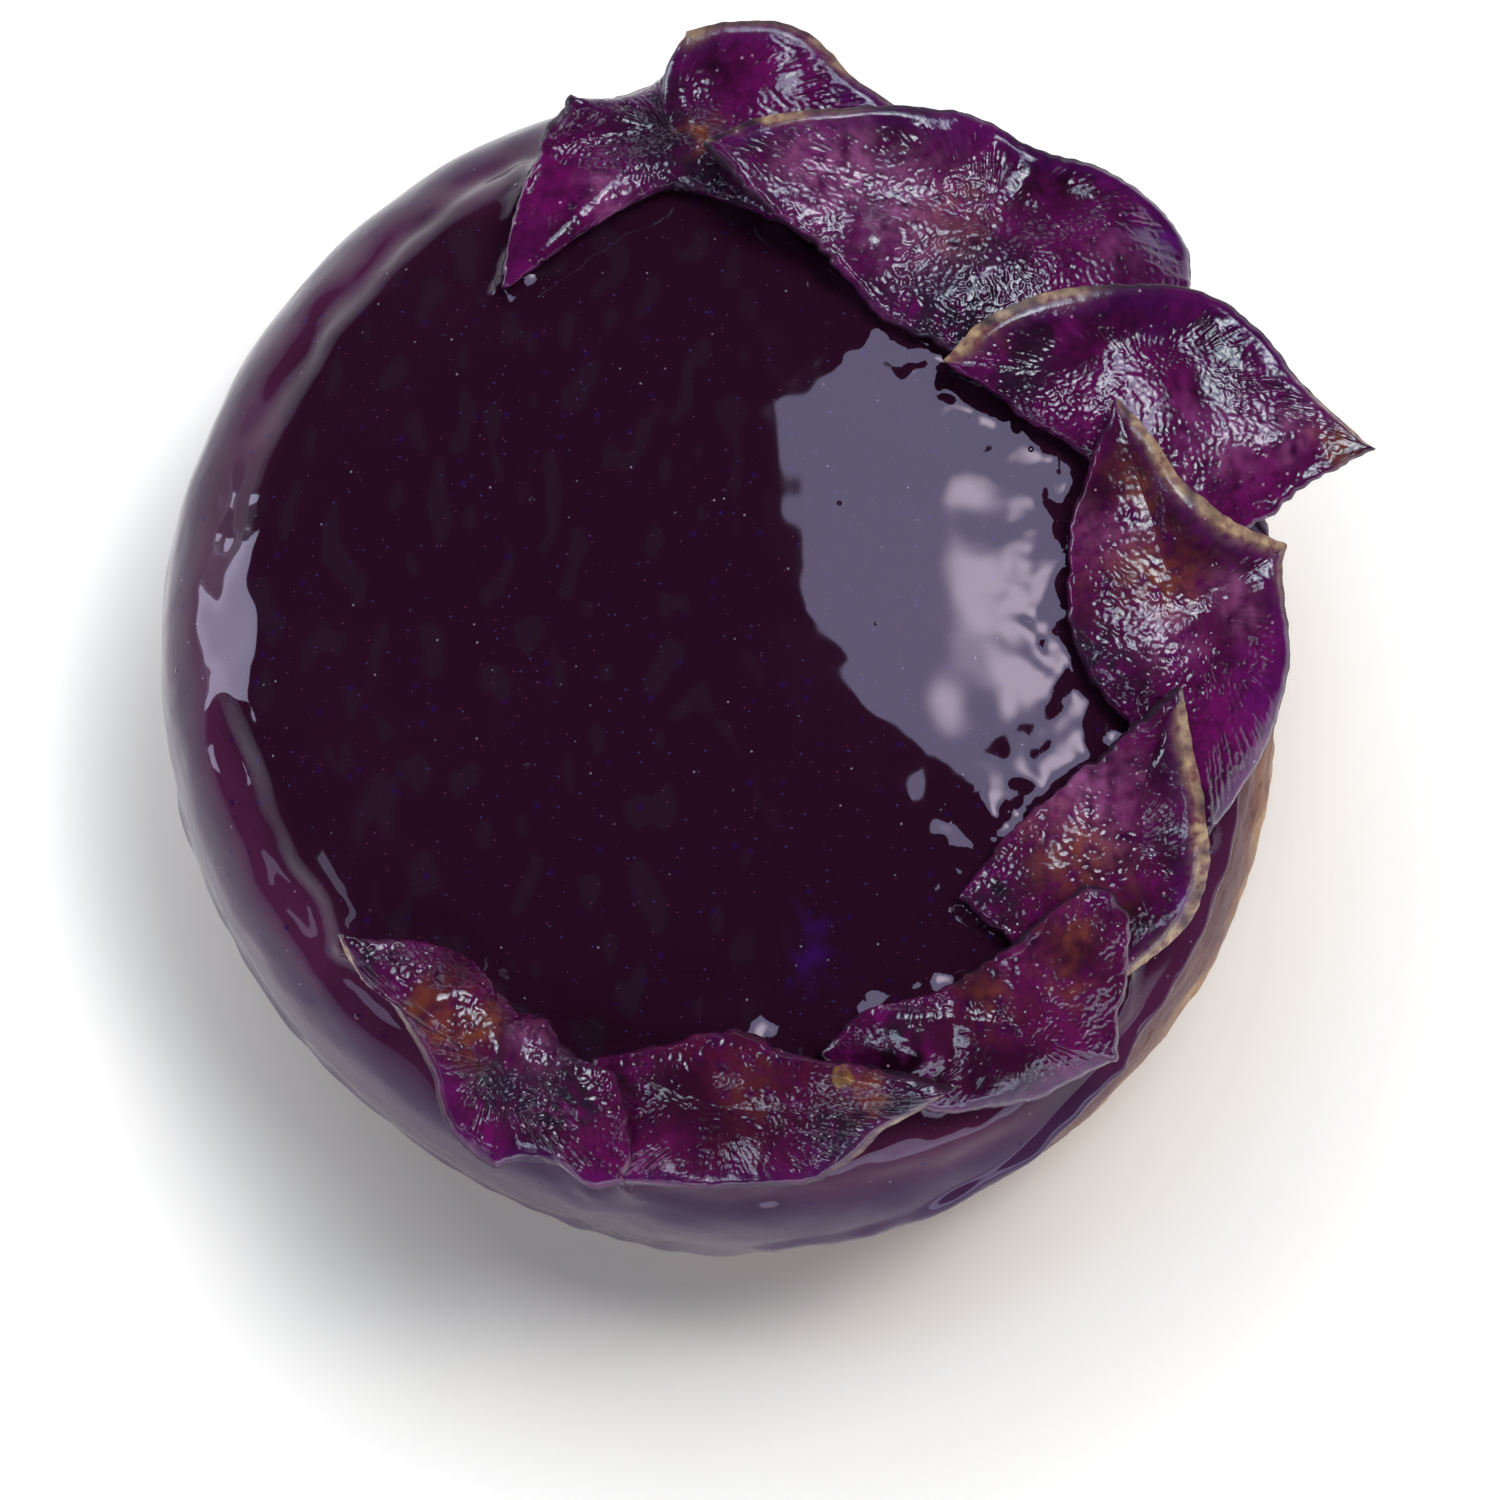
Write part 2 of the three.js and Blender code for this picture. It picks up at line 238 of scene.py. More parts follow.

# ---------------------------------------------------------------------------------------------
# How the slices lie: thin half-moons and wedges cut across purple sweet potatoes, which curled as they
# fried. They go round the rim from the back left to the front left, each lying on the one before it.

# Each outline is in runs that meet at corners, in mm as (x, y, lift), where lift is the height of a
# slice's middle layer over the lay. After each run come the widths of its peel at even steps, and
# (0, 0) is a cut edge. The higher a slice's curl, the closer to its rim it bends from the lift at its
# heart. Blistered is how strongly its flesh blistered. Folds are raised blisters, or creases where the
# height is below 0, from one point to another as (x, y, x, y, width, height). Tones are what frying
# did to the colour of the flesh, except slate, which is painted shade where the flesh lies in shadow,
# as (tone, x, y, radius, strength).
SLICES = {
    "slice_1": {
        "curl": 2.2,
        "blistered": 1,
        "heart": (-4, 38, 2.4),
        "runs": [
            ([(-16.5, 25.5, 1.4), (-16, 30, 1.6), (-15, 33.5, 2.2), (-13.5, 37, 3.6), (-11, 40, 7)], (0, 0)),
            ([(-11, 40, 7), (-8, 41, 3.5), (-5, 43, 1.5), (-3.2, 44.2, 4.2), (-2.6, 45.6, 7)], (0.2, 0.25)),
            ([(-2.6, 45.6, 7), (1, 46.5, 7.2), (5, 46.4, 6.8), (7.5, 45.3, 6), (10.5, 42.2, 4.8),
              (14, 40, 3.5), (17.5, 37.5, 1.6)], (0.35, 0.2, 0.2, 0.35, 0.2, 0.2, 0.15)),
            ([(17.5, 37.5, 1.6), (14.5, 33, 1.3), (9.5, 29.5, 1.3), (2, 32, 1.2), (-3.5, 33.5, 1.3),
              (-9, 31, 1.4), (-16.5, 25.5, 1.4)], (0, 0)),
        ],
        "folds": [(3, 41.5, 4, 42, 2.2, 0.5), (-3.5, 44, -2.5, 39, 0.8, 0.35)],
        "tones": [
            ("slate_shade", -5, 38.5, 4.5, 0.85), ("slate_shade", -2, 34.5, 4, 0.8), ("slate_shade", -7.5, 41, 2.5, 0.7),
            ("magenta", -12.5, 34, 5.5, 0.6), ("magenta", 4, 42, 5, 0.5), ("violet", 11, 41.3, 2.2, 0.8),
            ("pale", -8.2, 33, 1.6, 0.6), ("deep", -13.5, 35, 3, 0.4), ("scorch", -1.3, 38, 1.1, 0.9),
        ],
    },
    "slice_2": {
        "curl": 2.2,
        "blistered": 1,
        "heart": (20, 30, 3),
        "runs": [
            ([(-1, 36, 7), (2.5, 37.5, 7.8), (7, 38.3, 8.2), (13, 39, 7.8), (18, 39, 7.2)],
             (0.4, 0.45, 0.25, 0.12, 0.1)),
            ([(18, 39, 7.2), (21, 38.4, 5.9), (24.5, 36.4, 5.4), (28.5, 36.1, 4), (32.5, 34.2, 2.6),
              (35.7, 31.1, 1.2), (36.3, 27.2, 0.8)], (0.1, 0.12)),
            ([(36.3, 27.2, 0.8), (32.5, 23, 1.3), (25.5, 20, 1.3), (16.5, 21, 1.3)], (0, 0)),
            ([(16.5, 21, 1.3), (11.5, 24, 1.6), (8, 27.5, 3.2), (3, 31.5, 5.4), (-1, 36, 7)], (0, 0)),
        ],
        "folds": [(11.6, 28.8, 11.8, 28.7, 1.5, 0.7), (22.5, 36, 28, 32.5, 1.6, -0.3)],
        "tones": [
            ("pale", 8, 34, 4, 0.75), ("pale", 14, 31.5, 4.5, 0.7), ("scorch", 18, 31, 2.8, 0.35),
            ("slate_shade", 17.5, 24.5, 5, 0.85), ("slate_shade", 11.7, 28.6, 1, 0.7), ("deep", 26, 34.6, 4, 0.9),
            ("deep", 32, 29.5, 3, 0.7), ("magenta", 27.5, 29.5, 3.5, 0.5), ("pale", 30, 28.5, 2, 0.3),
            ("deep", 3, 36.3, 2.6, 0.7), ("deep", 13, 37.5, 3.6, 0.9), ("violet", 17.5, 38, 2, 0.3),
            ("violet", 34.5, 30.5, 3, 0.6),
        ],
    },
    "slice_3": {
        "curl": 2.2,
        "blistered": 1,
        "heart": (32, 18, 3),
        "runs": [
            ([(17, 19, 4), (19.5, 21.5, 5.4), (23, 23.5, 6.2), (28.5, 25, 6.4), (34.5, 25.5, 6),
              (38, 25, 5.6), (41, 23, 5.4), (43.5, 20, 5.2), (46.5, 17, 5.4), (50, 14, 6)],
             (0.5, 0.55, 0.4, 0.15, 0.1, 0.1, 0.12, 0.3, 0.4)),
            ([(50, 14, 6), (46.5, 12, 4.2), (43.3, 10, 2.6), (41.5, 8.5, 1.8), (38, 6, 0.8),
              (33, 7, 1.2)], (0, 0)),
            ([(33, 7, 1.2), (27.5, 13, 1.3), (24.5, 14.5, 1.6), (20.5, 17, 2.6), (17, 19, 4)], (0, 0)),
        ],
        "folds": [(43, 14.5, 43.5, 14.5, 1.3, 0.4)],
        "tones": [
            ("deep", 23, 21.5, 2.8, 0.8), ("deep", 31, 23.3, 3.5, 0.8), ("deep", 38.5, 21.5, 3, 0.7),
            ("magenta", 31, 16, 4.5, 0.9), ("magenta", 40, 11, 4.5, 0.9), ("slate_shade", 23, 18.5, 2.2, 0.6),
            ("slate_shade", 43, 18.5, 2.2, 0.6), ("pale", 43.4, 14.4, 1.4, 0.8), ("pale", 38, 14, 3, 0.4),
            ("scorch", 47.5, 14.5, 2, 0.6), ("violet", 33, 24.8, 2.4, 0.4), ("scorch", 20, 21, 1.3, 0.5),
        ],
    },
    "slice_4": {
        "curl": 2.2,
        "blistered": 1.1,
        "heart": (34.5, 0, 3.2),
        "runs": [
            ([(30, 16, 5.6), (32.5, 13, 6.6), (34, 10.5, 7), (36.5, 8.2, 7), (39.5, 6.7, 6.2),
              (43, 5.7, 5.2)], (0.35, 0.6, 0.65, 0.6, 0.5)),
            ([(43, 5.7, 5.2), (42.6, 4, 5), (42.8, 1.5, 4.6), (43.3, -2, 2.8), (41.8, -8.5, 0.4),
              (39.5, -12.5, 0), (37, -16, 0.4)], (0.3, 0.12, 0.12, 0.15)),
            ([(37, -16, 0.4), (32.5, -13.5, 1), (31, -8, 1.2)], (0, 0)),
            ([(31, -8, 1.2), (28.5, -5.5, 1.2), (26.7, -1, 1.3), (26.5, 6, 1.6), (28, 11, 3.4),
              (30, 16, 5.6)], (0, 0)),
        ],
        "folds": [(34.5, -1, 38, 1.3, 1.1, 0.32), (38, 1.3, 42.5, 2.4, 0.8, 0.25)],
        "tones": [
            ("wine", 33, 4, 8, 0.7), ("scorch", 31.5, 10, 2.2, 0.45), ("pale", 29.5, 5.5, 2.6, 0.4),
            ("scorch", 32.5, 3, 3, 0.55), ("pale", 33.5, -1.5, 2.4, 0.45), ("pale", 38, 1.5, 2, 0.5),
            ("slate_shade", 29, -3.5, 3.2, 0.7), ("deep", 38, 5, 2.8, 0.85),
            ("deep", 34.5, 8, 2.4, 0.7), ("violet", 41, -5, 2.5, 0.35), ("magenta", 38, -7, 4, 0.8),
        ],
    },
    "slice_5": {
        "curl": 2.2,
        "blistered": 1.1,
        "heart": (30, -18, 2.6),
        "runs": [
            ([(34.5, -6, 6), (35, -9.5, 6.7), (36, -13.5, 6.2), (36.5, -16.5, 5.4), (36.8, -19.5, 3.6),
              (35.8, -22.5, 1.9), (34, -24.7, 1.2), (30.5, -27.2, 1)],
             (0.35, 0.5, 0.5, 0.65, 0.9, 0.95, 0.8, 0.6)),
            ([(30.5, -27.2, 1), (26.5, -27.5, 1.2), (20.5, -23.5, 1.3), (18, -21.5, 1.4)], (0, 0)),
            ([(18, -21.5, 1.4), (21, -17.5, 1.4), (25, -14, 1.9), (28.5, -11, 3.4), (31, -9, 4.6),
              (34.5, -6, 6)], (0, 0)),
        ],
        "folds": [],
        "tones": [
            ("wine", 27, -17, 10, 0.6), ("pale", 27.5, -14, 4, 0.7), ("scorch", 26.5, -17.5, 2.8, 0.5),
            ("scorch", 27.5, -20.5, 2.2, 0.45), ("deep", 33.8, -12, 2.4, 0.85),
            ("deep", 32.5, -23.5, 3, 0.85), ("deep", 33.4, -17, 2.4, 0.7),
            ("slate_shade", 20.5, -20.8, 2.6, 0.6), ("violet", 34.7, -21, 1.3, 0.8), ("magenta", 30, -14.5, 2, 0.4),
        ],
    },
    "slice_6": {
        "curl": 1.6,
        "blistered": 1.2,
        "heart": (22, -31, 3.2),
        "runs": [
            ([(27.5, -20.8, 5.4), (29.5, -21.8, 5.6), (30.5, -23.3, 5.6)], (0, 0)),
            ([(30.5, -23.3, 5.6), (30.5, -27, 4.2), (30, -30.3, 2.8), (29.8, -33, 1.4)], (0, 0)),
            ([(29.8, -33, 1.4), (27, -34.4, 1.2), (24.5, -35.8, 1), (21, -36.7, 1.1), (17, -37.2, 1.1),
              (12, -36.4, 0.9)], (0.12, 0.15)),
            ([(12, -36.4, 0.9), (9.5, -35.2, 1), (8, -33, 1.2)], (0, 0)),
            ([(8, -33, 1.2), (10, -30.5, 2), (13.5, -29.5, 2), (17.5, -28, 2.2), (22.5, -24.7, 4),
              (27.5, -20.8, 5.4)], (0, 0)),
        ],
        "folds": [(13.5, -31, 15, -32.5, 1.3, 0.4), (17.5, -29.5, 17, -34, 0.9, -0.3)],
        "tones": [
            ("wine", 22, -30, 12, 0.5), ("scorch", 26, -24, 2.2, 0.35), ("scorch", 25, -27, 2, 0.3),
            ("scorch", 20, -28.8, 2, 0.35), ("magenta", 22, -26, 2.4, 0.4), ("magenta", 27, -33.5, 2.2, 0.4),
            ("deep", 14, -34.5, 3.4, 0.8), ("deep", 21.5, -35.2, 2.6, 0.6), ("slate_shade", 14, -30.4, 1.5, 0.5),
        ],
    },
    "slice_7": {
        "curl": 1.6,
        "blistered": 1.5,
        "heart": (0, -37, 2.6),
        "runs": [
            ([(-9, -33.5, 1.1), (-2, -32, 1.3), (1.5, -31.6, 1.6), (5.5, -33.5, 3), (9, -34, 4.2),
              (13.5, -35, 5.6), (17.5, -36.2, 6.6)], (0, 0)),
            ([(17.5, -36.2, 6.6), (15, -37.6, 5), (12.5, -38.8, 4.4), (10.5, -40.6, 3.8), (7.5, -42.4, 3.5),
              (2.5, -43, 3.4), (-2, -43, 2.8), (-10, -42.2, 1.2)], (0.35, 0.3, 0.2, 0.12, 0.12, 0.12)),
            ([(-10, -42.2, 1.2), (-10.5, -38, 0.6), (-9, -33.5, 1.1)], (0, 0)),
        ],
        "folds": [(9.5, -35, 16, -36.4, 0.8, 0.3), (0.5, -34, 1.5, -34.5, 1.2, 0.35)],
        "tones": [
            ("wine", 2, -37, 14, 0.8), ("slate_shade", -6, -35, 2.6, 0.4), ("slate_shade", 8.5, -40, 3, 1),
            ("scorch", 2.5, -36.5, 2, 0.2), ("magenta", -5, -41.4, 2.4, 0.6), ("magenta", 6, -41, 2, 0.35),
            ("deep", 5, -38, 3.5, 0.5), ("slate_shade", 14, -37, 2.5, 0.7), ("scorch", 11.2, -36, 1.4, 0.5),
            ("gilt", 9.4, -34.9, 0.12, 0.3),
        ],
    },
    "slice_8": {
        "curl": 1.6,
        "blistered": 1.8,
        "heart": (-16.5, -34, 4.8),
        "runs": [
            ([(-27, -27.5, 4.6), (-28, -26, 5), (-28.5, -24.5, 5.2)], (0.8, 0.9, 0.7)),
            ([(-28.5, -24.5, 5.2), (-25.5, -25, 4.2), (-22, -25, 2.4), (-19, -26, 1.1), (-17, -28.5, 0.6),
              (-15.5, -30, 1.1), (-13, -31, 2.6), (-11, -33.5, 4.2), (-7.5, -35, 4.8)], (0, 0)),
            ([(-7.5, -35, 4.8), (-7, -37.5, 5), (-6.5, -40.5, 5), (-7, -43, 5.2)], (0, 0)),
            ([(-7, -43, 5.2), (-9.5, -43.2, 5.8), (-12, -41.7, 5.8), (-14.5, -41.2, 5.8), (-16.5, -41.7, 6.2),
              (-19, -40.2, 6), (-20.5, -38.1, 5.8), (-21.5, -34.7, 5.4), (-24.5, -29.6, 4.8),
              (-27, -27.5, 4.6)], (0.12, 0.12, 0.15, 0.2, 0.4)),
        ],
        "folds": [
            (-14.5, -33, -17, -39.5, 1.8, 0.6), (-21, -29.5, -19, -29, 1.2, 0.5),
            (-10.5, -36, -10, -39, 1.3, 0.4),
        ],
        "tones": [
            ("wine", -17, -33, 12, 0.8), ("slate_shade", -25.3, -26.3, 2.2, 0.6),
            ("scorch", -18, -32.3, 1.5, 0.7), ("scorch", -21, -30.5, 1.8, 0.5),
            ("magenta", -17.5, -39.8, 2, 0.6), ("magenta", -20.3, -36, 1.4, 0.5),
            ("magenta", -22.5, -25.5, 1.4, 0.5), ("magenta", -9, -41.6, 2.2, 0.5),
            ("pale", -14.5, -33, 2, 0.4), ("slate_shade", -15.5, -35.5, 3.4, 1), ("slate_shade", -11.5, -36.5, 2.6, 0.8),
        ],
    },
}


STEPS_BETWEEN_POINTS = 24


def smooth_run(points, count):
    """A smooth line through the points of a run, in count even steps without its last point."""
    points = np.array(points, float)
    padded = np.vstack([2 * points[0] - points[1], points, 2 * points[-1] - points[-2]])
    fine = []
    for before, start, end, after in zip(padded, padded[1:], padded[2:], padded[3:]):
        pairs = ((before, start), (start, end), (end, after))
        g0, g1, g2 = [np.sqrt(np.linalg.norm(b - a)) for a, b in pairs]
        leave = g1 * ((start - before) / g0 - (end - before) / (g0 + g1) + (end - start) / g1)
        arrive = g1 * ((end - start) / g1 - (after - start) / (g1 + g2) + (after - end) / g2)
        t = np.linspace(0, 1, STEPS_BETWEEN_POINTS, endpoint=False)[:, None]
        fine.append(
            (2 * t**3 - 3 * t**2 + 1) * start
            + (t**3 - 2 * t**2 + t) * leave
            + (3 * t**2 - 2 * t**3) * end
            + (t**3 - t**2) * arrive
        )
    fine = np.vstack(fine + [points[-1:]])
    along = np.concatenate([[0], np.cumsum(np.linalg.norm(np.diff(fine, axis=0), axis=1))])
    steps = np.linspace(0, along[-1], count, endpoint=False)
    return np.stack([np.interp(steps, along, fine[:, k]) for k in range(3)], axis=-1)


def run_length(points):
    """Length in mm of a run, from point to point."""
    return np.linalg.norm(np.diff(np.array(points, float), axis=0), axis=1).sum()


def lay(x, y):
    """Height in mm of the dome that the slices bend to: it follows the crown of the glaze and stands
    out over its side."""
    crown = DOUGH_HEIGHT + GLAZE_OFFSET
    share = np.hypot(x, y) / (DOUGH_RADIUS + GLAZE_OFFSET)
    return crown - (crown - WIDEST_HEIGHT) / SQUARENESS * share**SQUARENESS


# ---------------------------------------------------------------------------------------------
# Glaze: sugar glaze coloured with purple sweet potato, poured warm so that it runs level, fills the
# pores and sets with a mirror surface. It stands up in a small bead at its lower edge and climbs the
# cut edges of the slices that were pressed into it while it was wet.

GLAZE_CLEARANCE = 0.4
GLAZE_THICKNESS = 1.2
GLAZE_OFFSET = GLAZE_CLEARANCE + GLAZE_THICKNESS
GLAZE_TURNS = 520
# Where glaze pooled against a slice, in mm as (x, y, half its width, half its depth, height).
POOLS = (
    (1.5, -32.2, 3.5, 1.9, 0.6), (7.8, -31.8, 1.4, 1, 0.3), (12.8, -29.6, 2, 1, 0.3),
    (20.5, -15, 1.4, 1.4, 0.3), (9.5, 28.5, 1.5, 1.5, 0.4),
)
# The groove round the shoulder: turns in degrees, and its inset, width or depth in mm at each.
GROOVE_INSETS = (0, 112, 135, 165, 208, 235, 255, 300, 360), (2.6, 3.8, 4.8, 5, 5.4, 4.6, 2.4, 2.2, 2.6)
GROOVE_WIDTHS = (145, 168, 184, 195), (1.4, 2.3, 2.3, 1.4)
GROOVE_DEPTHS = (145, 168, 184, 195, 240, 260), (0.55, 0.28, 0.28, 0.55, 0.55, 0.35)
# The lip turns under over this much of the climb, in mm.
LIP = 1.05
BUBBLE_SPACING = 4.5
BUBBLE_RADIUS = 0.25


def distance_to_slices(points):
    """Distance in mm, seen from above, from each point to the nearest cut edge of a slice."""
    cuts = np.vstack([
        smooth_run(points, max(4, round(run_length(points) / 0.8)))
        for shape in SLICES.values()
        for points, peel in shape["runs"]
        if not any(peel)
    ])
    flat = points.reshape(-1, 3)
    nearest = np.full(len(flat), 1e9)
    for x, y in cuts[:, :2]:
        nearest = np.minimum(nearest, np.hypot(flat[:, 0] - x, flat[:, 1] - y))
    return nearest.reshape(points.shape[:-1])


def mirror_glaze():
    """Set sugar glaze: aubergine, almost black where it is thick and a milky mauve where it ran thin
    down the side, under a clear skin that mirrors what stands round it."""
    material, tree, sugar = new_material("mirror_glaze")
    place = add_node(tree, "TexCoord", "Object", {})
    cloud = add_node(tree, "TexNoise", "Fac", {"Vector": place, "Scale": 1 / (14 * MM), "Detail": 3})
    aubergines = {0: cloud, 6: linear("#270c21"), 7: linear("#2f1028")}
    colour = add_node(tree, "Mix", 2, aubergines, data_type="RGBA")
    # The blue-grey tint is a painted reflection, laid on the rim.
    tints = ("thin", "#4c2040"), ("blue_rim_reflection", "#382c4c"), ("smear", "#3a1060"), ("scuff", "#2c2a38")
    for mark, hex_colour in tints:
        amount = add_node(tree, "Attribute", "Fac", {}, attribute_name=mark)
        colour = add_node(tree, "Mix", 2, {0: amount, 6: colour, 7: linear(hex_colour)}, data_type="RGBA")
    # Grains as (spacing, radius, colour) in mm: sugar crystals, and specks of sweet potato that are
    # redder, bluer, or wider and dimmer. Fewer than half of each stand out.
    grains = (1.3, 0.11, "#9488aa"), (0.7, 0.08, "#6c3450"), (0.8, 0.1, "#463a78"), (1.6, 0.3, "#2c1048")
    for spacing, radius, hex_colour in grains:
        cells = {"Vector": place, "Scale": 1 / (spacing * MM)}
        distance = add_node(tree, "TexVoronoi", "Distance", cells)
        pick = add_node(tree, "TexVoronoi", "Color", cells)
        edges = {"Value": distance, "From Min": radius / spacing, "From Max": 0.4 * radius / spacing}
        grain = add_node(tree, "MapRange", "Result", edges)
        chosen = add_node(tree, "Math", 0, {0: pick, 1: 0.55}, operation="GREATER_THAN")
        amount = add_node(tree, "Math", 0, {0: grain, 1: chosen}, operation="MULTIPLY")
        colour = add_node(tree, "Mix", 2, {0: amount, 6: colour, 7: linear(hex_colour)}, data_type="RGBA")
    # Air bubbles that set just under the skin, each a dome 0.5 mm across.
    cells = {"Vector": place, "Scale": 1 / (BUBBLE_SPACING * MM)}
    distance = add_node(tree, "TexVoronoi", "Distance", cells)
    pick = add_node(tree, "TexVoronoi", "Color", cells)
    edges = {"Value": distance, "From Min": BUBBLE_RADIUS / BUBBLE_SPACING, "From Max": 0.02}
    dome = add_node(tree, "MapRange", "Result", edges, interpolation_type="SMOOTHSTEP")
    chosen = add_node(tree, "Math", 0, {0: pick, 1: 0.5}, operation="GREATER_THAN")
    bubbles = add_node(tree, "Math", 0, {0: dome, 1: chosen}, operation="MULTIPLY")
    skin = add_node(tree, "Bump", "Normal", {"Height": bubbles, "Distance": 0.09 * MM, "Strength": 1})
    tree.links.new(colour, sugar.inputs["Base Color"])
    tree.links.new(skin, sugar.inputs["Normal"])
    sugar.inputs["Roughness"].default_value = 0.035
    sugar.inputs["IOR"].default_value = 1.45
    sugar.inputs["Specular IOR Level"].default_value = 0.36
    sugar.inputs["Specular Tint"].default_value = linear("#d8d2ff")
    return material


def glaze_relief(smooth, angle, climbed, inset):
    """Height in mm of the outside of the glaze over the points of a smooth coat. climbed is their
    distance up the side from its lower edge, and inset their distance from its outline in plan."""
    x, y = smooth[..., 0], smooth[..., 1]
    to_slice = distance_to_slices(smooth)
    near_slices = np.exp(-((to_slice / 4) ** 2))
    swell = 0.05 * bumps(smooth, 9, 11) + 0.014 * bumps(smooth, 2.6, 12)
    sag = 0.16 * ramp(x, 8, 22) * bumps(smooth, 4.5, 13)
    ripple = near_slices * (0.17 * bumps(smooth, 2.4, 14) + 0.06 * bumps(smooth, 1.2, 15))
    climb_up_slice = 0.8 * (1 + 1.2 * bumps(smooth, 3, 17)) * np.exp(-to_slice / 0.7)
    # Low pools of glaze set against the slices that stopped it.
    pools = sum(
        rise * np.exp(-(((x - x0) / wide) ** 2) - ((y - y0) / deep) ** 2)
        for x0, y0, wide, deep, rise in POOLS
    )
    pools = pools * (1 + 0.2 * bumps(smooth, 1.5, 25))
    # A groove runs round the shoulder, where the glaze slowed down as it set, and it is uneven there.
    degrees = np.degrees(angle) % 360
    groove_inset = np.interp(degrees, *GROOVE_INSETS) + 0.9 * bumps(smooth, 5, 16)
    groove_width = np.interp(degrees, *GROOVE_WIDTHS)
    groove_depth = np.interp(degrees, *GROOVE_DEPTHS) * (1 + 0.7 * bumps(smooth, 6, 26))
    groove = np.exp(-(((inset - groove_inset) / groove_width) ** 2)) * ramp(climbed, 2, 4)
    shoulder = ramp(inset, 10, 5) * ramp(climbed, 1, 4)
    slumps = shoulder * (0.16 * bumps(smooth, 5, 21) + 0.035 * bumps(smooth, 1.6, 22))
    bead = 0.3 * (1 + 1.2 * bumps(smooth, 3, 24)) * np.exp(-(((climbed - 1.5) / 1.2) ** 2))
    return swell + sag + ripple + climb_up_slice + pools - groove_depth * groove + slumps + bead


def glaze_marks(smooth, inset):
    """How thin the glaze is down the side and how much blue reflection is painted at the rim, with one violet
    smear by the front slices and a few dull scuffs on the left of the crown."""
    x, y = smooth[..., 0], smooth[..., 1]
    thin = ramp(inset + 2 * bumps(smooth, 7, 18), 8.5, 3)
    thin *= 1 + 0.5 * bumps(smooth * [1, 1, 0.4], 4, 19)
    smeared = np.hypot((x - 7) / 1.1, (y + 25.4) / 1.7) + 1.6 * bumps(smooth, 1.4, 23)
    smear = 0.8 * np.exp(-(np.clip(smeared, 0, 9) ** 2))
    scuff = ramp(bumps(smooth * [1, 0.5, 1], 1.7, 27), 0.24, 0.34) * ramp(inset, 5, 9) * ramp(x, 8, -2)
    # The blue within 3.5 mm of the outline is a painted reflection.
    return {"thin": thin, "blue_rim_reflection": 0.6 * ramp(inset, 3.5, 1.5), "smear": smear, "scuff": 0.22 * scuff}


def make_glaze():
    angle = np.linspace(0, 2 * math.pi, GLAZE_TURNS, endpoint=False)
    # Rings at even steps up the side and over the crown, closer where the lip turns under.
    fine = np.linspace(math.radians(GLAZE_STOPS), math.radians(90), 2000)
    profile = on_dough(np.full_like(fine, math.pi), fine, GLAZE_OFFSET)
    climb = np.concatenate([[0], np.cumsum(np.linalg.norm(np.diff(profile, axis=0), axis=1))])
    lip = np.array([0, 0.05, 0.16, 0.32, 0.52, 0.76])
    up_side = np.concatenate([lip, np.linspace(LIP, climb[-1], 172, endpoint=False)])
    share = (np.interp(up_side, climb, fine) - fine[0]) / (fine[-1] - fine[0])
    edge = glaze_edge(angle)[None, :]
    steepness = edge + share[:, None] * (math.radians(90) - edge)
    angle, steepness = np.broadcast_arrays(angle[None, :], steepness)
    climbed = np.broadcast_to(up_side[:, None], angle.shape)
    smooth = on_dough(angle, steepness, GLAZE_OFFSET)
    inset = dough_radius(angle) + GLAZE_OFFSET - np.hypot(smooth[..., 0], smooth[..., 1])
    relief = glaze_relief(smooth, angle, climbed, inset)
    rounding = np.sqrt(1 - (1 - np.clip(climbed / LIP, 0, 1)) ** 2)
    innermost = GLAZE_CLEARANCE / 2
    outside = on_dough(angle, steepness, innermost + rounding * (GLAZE_OFFSET + relief - innermost))
    under = list(range(0, len(up_side), 16))[::-1]
    inside = on_dough(angle[under], steepness[under], innermost)[:-1]
    rings = np.concatenate([inside, outside])
    poles = (0, 0, DOUGH_HEIGHT + innermost), (0, 0, rings[-1, :, 2].mean())

    marks = glaze_marks(smooth, inset)
    marks = {mark: np.concatenate([values[under][:-1], values]) for mark, values in marks.items()}
    glaze = solid("glaze_coat", rings, *poles, marks)
    glaze.data.materials.append(mirror_glaze())
    return glaze


glaze = make_glaze()
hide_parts("glaze")
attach(glaze, "root")

# ---------------------------------------------------------------------------------------------
# Slices: sweet potato crisps, sliced under 2 mm thick and fried until they curl and blister. The
# flesh keeps its purple under a film of oil, with browner and paler patches, and the peel is tan.

SLICE_THICKNESS = 1.6
RIM_STEPS = 660
RING_STEPS = 128
UNDER_STEPS = 12
WORM_SIZE = 0.46
PIMPLE_SIZE = 0.4
RIDGE_SPACING = 0.46
# Each tone's colour where it is strongest. Slate is a painted shade, a dark grey-blue.
FLESH_TONES = {
    "wine": "#5a163c",
    "deep": "#22061c",
    "slate_shade": "#2a1c32",
    "magenta": "#701261",
    "pale": "#945088",
    "scorch": "#84442f",
    "violet": "#561168",
    "gilt": "#c2a03c",
}


